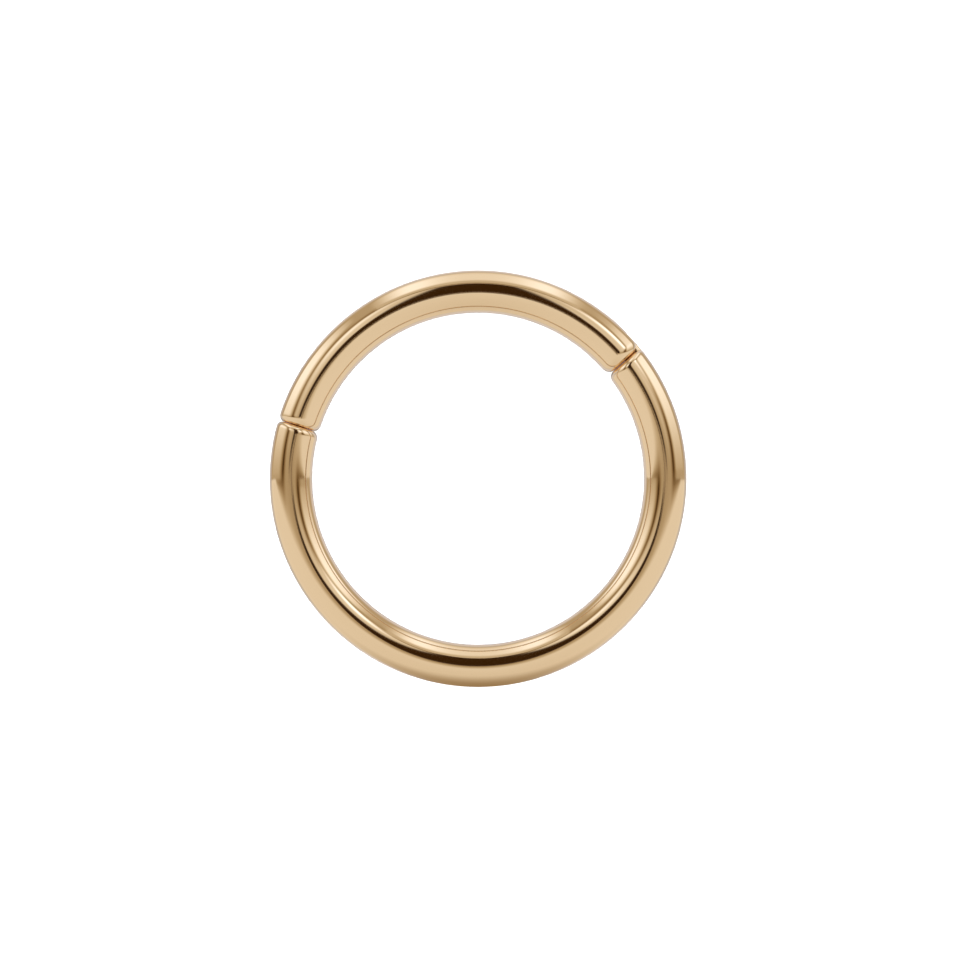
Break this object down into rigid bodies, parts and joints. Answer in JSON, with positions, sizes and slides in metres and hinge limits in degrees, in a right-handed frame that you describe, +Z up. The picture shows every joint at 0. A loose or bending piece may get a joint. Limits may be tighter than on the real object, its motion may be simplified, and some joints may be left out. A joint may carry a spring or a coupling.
{
  "type": "hinged segment piercing hoop",
  "caption": "Polished gold hoop of round wire for a piercing. Its upper segment swings out on a hidden pin and shuts on a domed stud in the body's end.",
  "frame": {"origin": "middle of the hoop, on the surface that the hoop lies on", "axes": "+Z up, through the hoop, towards the face that the picture shows; +Y towards the top of the picture; +X towards its right"},
  "size_m": [0.01, 0.01, 0.001],
  "materials": {
    "polished_gold": "mirror-polished 14-carat yellow gold",
    "fine_ground_gold": "finely ground 14-carat yellow gold"
  },
  "bodies": {
    "hoop": {"hoop_body": "polished_gold"},
    "segment": {"hinged_segment": "polished_gold", "hinge_pin": "fine_ground_gold", "catch_stud": "fine_ground_gold"}
  },
  "joints": [
    {"name": "segment_hinge", "type": "hinge", "parent": "hoop", "child": "segment", "pos_m": [0.00357, 0.00319, 0.00051], "axis": [0, 0, -1], "range_deg": [0, 90]}
  ]
}
